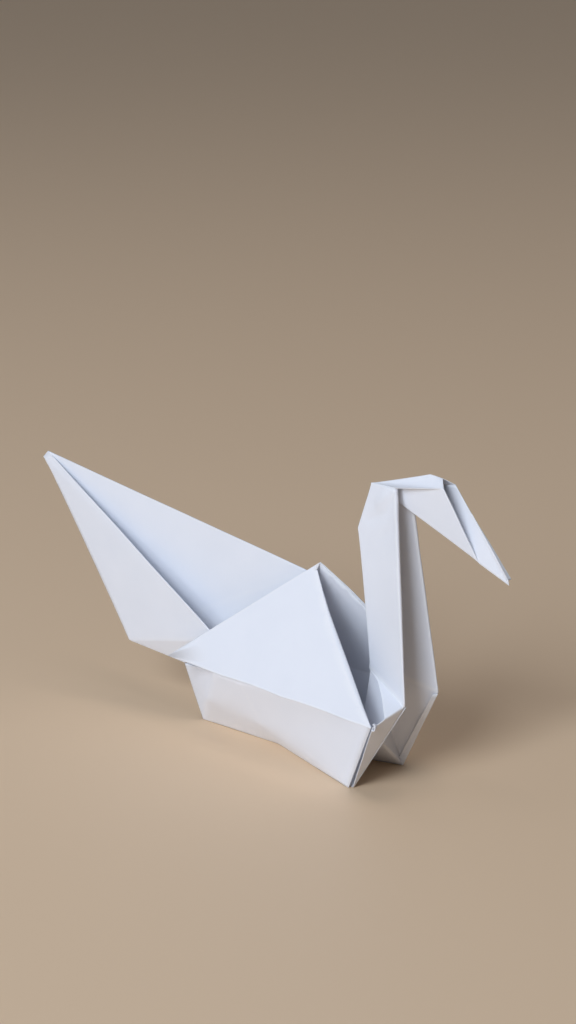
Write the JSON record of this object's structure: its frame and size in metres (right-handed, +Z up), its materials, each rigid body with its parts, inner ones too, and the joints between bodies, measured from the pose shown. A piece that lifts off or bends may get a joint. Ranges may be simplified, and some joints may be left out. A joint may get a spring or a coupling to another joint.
{
  "type": "origami swan",
  "caption": "Swan folded from one square sheet of white paper, with an upright tail, closed wings, a hooked neck and a pointed beak; it stands on its keel and front feet.",
  "frame": {"origin": "on the table, under the middle of the swan's overall length and width", "axes": "+X forwards, towards the beak; +Y to the swan's left; +Z up"},
  "size_m": [0.1268, 0.0234, 0.0649],
  "materials": {
    "paper": "matte white uncoated paper"
  },
  "bodies": {
    "root": {"swan": "paper"}
  },
  "joints": []
}
